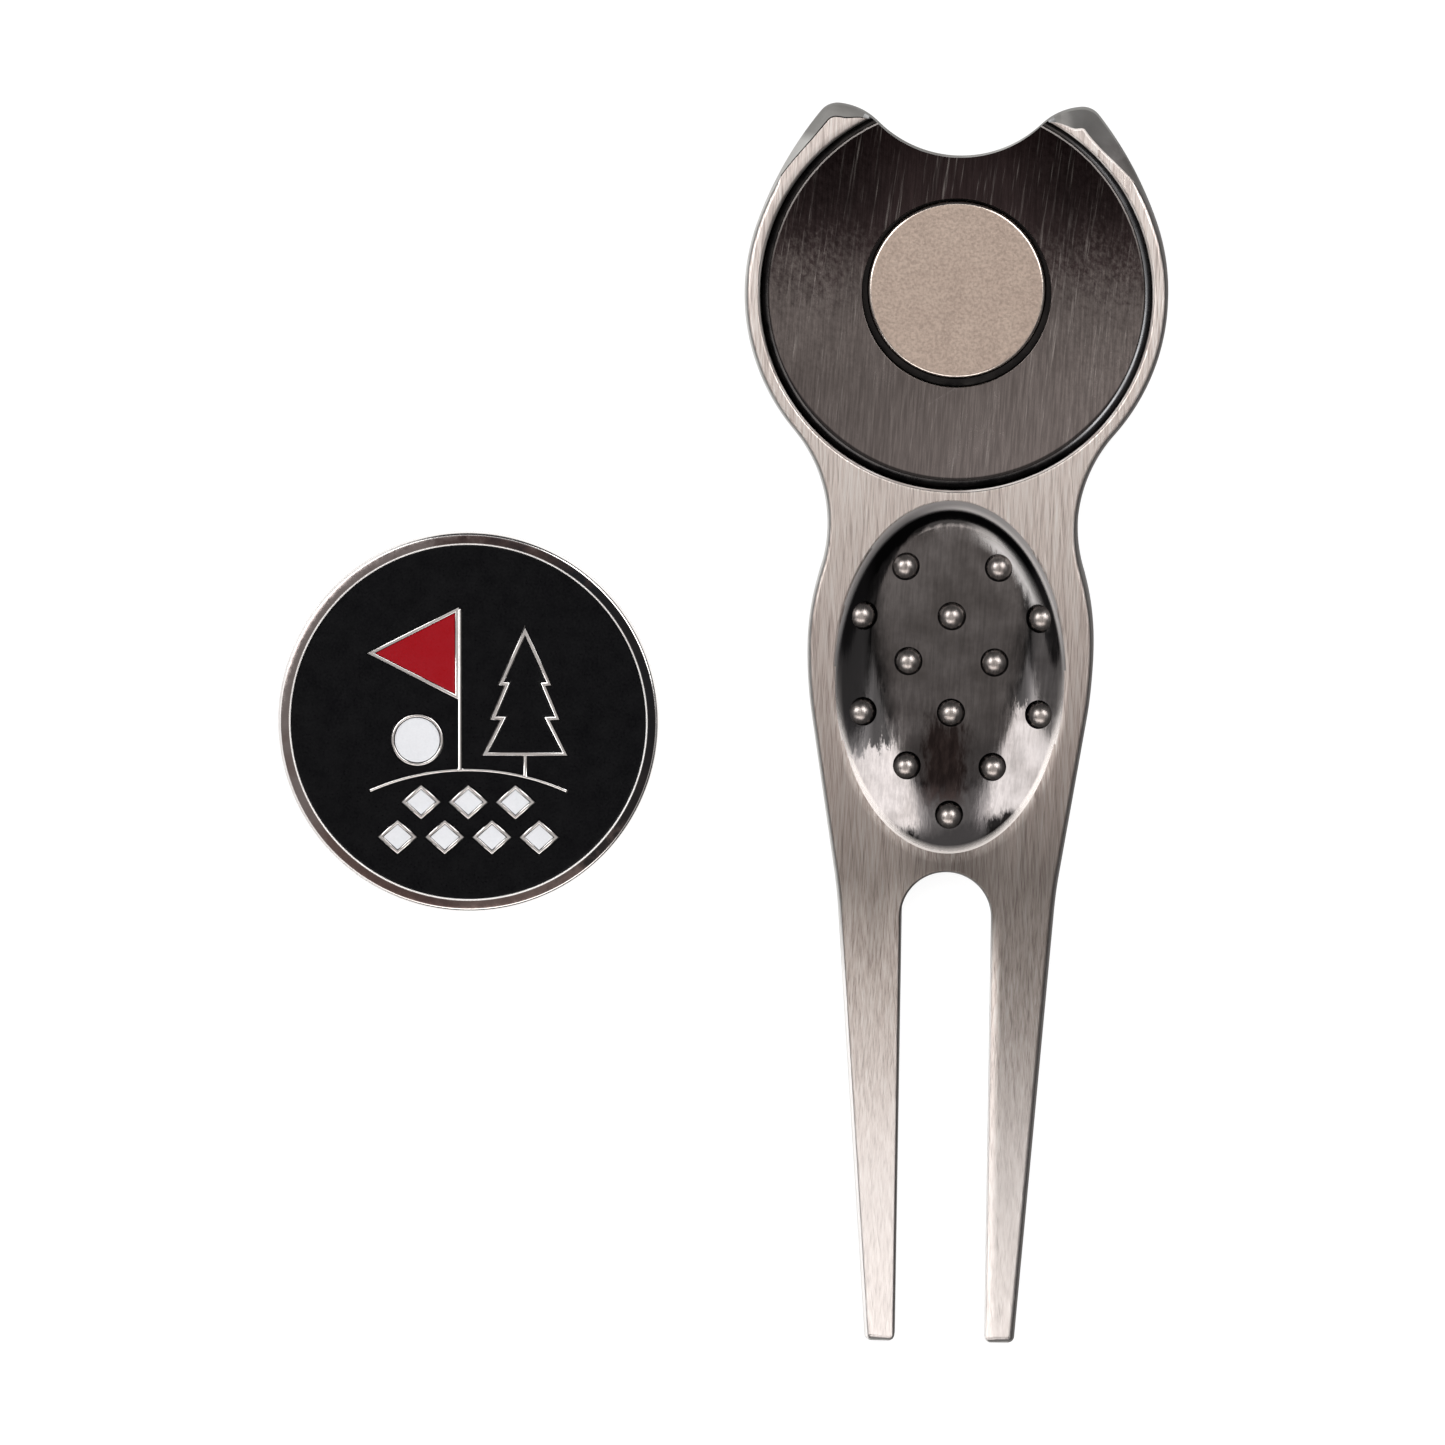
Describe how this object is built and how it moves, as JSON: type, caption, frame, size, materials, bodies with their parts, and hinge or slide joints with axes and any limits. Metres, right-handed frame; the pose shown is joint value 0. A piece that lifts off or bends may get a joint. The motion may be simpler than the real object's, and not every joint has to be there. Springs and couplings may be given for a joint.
{
  "type": "divot repair tool",
  "caption": "Golf divot repair tool with tapered tines, a notched head, a magnetic marker recess and a studded thumb dish, and its round enamelled ball marker lying beside it.",
  "frame": {"origin": "centre of the marker recess, on the plane of the tool's flat back", "axes": "+Z out of the tool's face, +Y from the recess to the notch between the horns, -Y towards the tine tips, +X to the right seen from the face"},
  "size_m": [0.0589, 0.0827, 0.0046],
  "materials": {
    "brushed_nickel": "nickel-plated zinc die casting, brushed lengthwise on its top face, dark satin nickel in the recess and the dish",
    "magnet_nickel": "satin nickel plating on a sintered disc magnet",
    "adhesive": "cured film of clear yellowish adhesive",
    "polished_nickel": "struck steel with polished nickel plating",
    "black_enamel": "black soft enamel, satin, with a fine grain",
    "red_enamel": "red soft enamel, satin",
    "white_enamel": "white soft enamel, satin"
  },
  "bodies": {
    "tool": {"tool_body": "brushed_nickel", "magnet": "magnet_nickel", "magnet_adhesive": "adhesive"},
    "marker": {"marker_blank": "polished_nickel", "enamel_field": "black_enamel", "enamel_pennant": "red_enamel", "enamel_tree": "black_enamel", "enamel_ball": "white_enamel", "enamel_diamond_1": "white_enamel", "enamel_diamond_2": "white_enamel", "enamel_diamond_3": "white_enamel", "enamel_diamond_4": "white_enamel", "enamel_diamond_5": "white_enamel", "enamel_diamond_6": "white_enamel", "enamel_diamond_7": "white_enamel"}
  },
  "joints": [
    {"name": "marker_turn", "type": "hinge", "parent": "tool", "child": "marker", "pos_m": [-0.01605, -0.01466, 0.00216], "axis": [-0.6744, 0.7384, 0], "range_deg": [0, 180]}
  ]
}
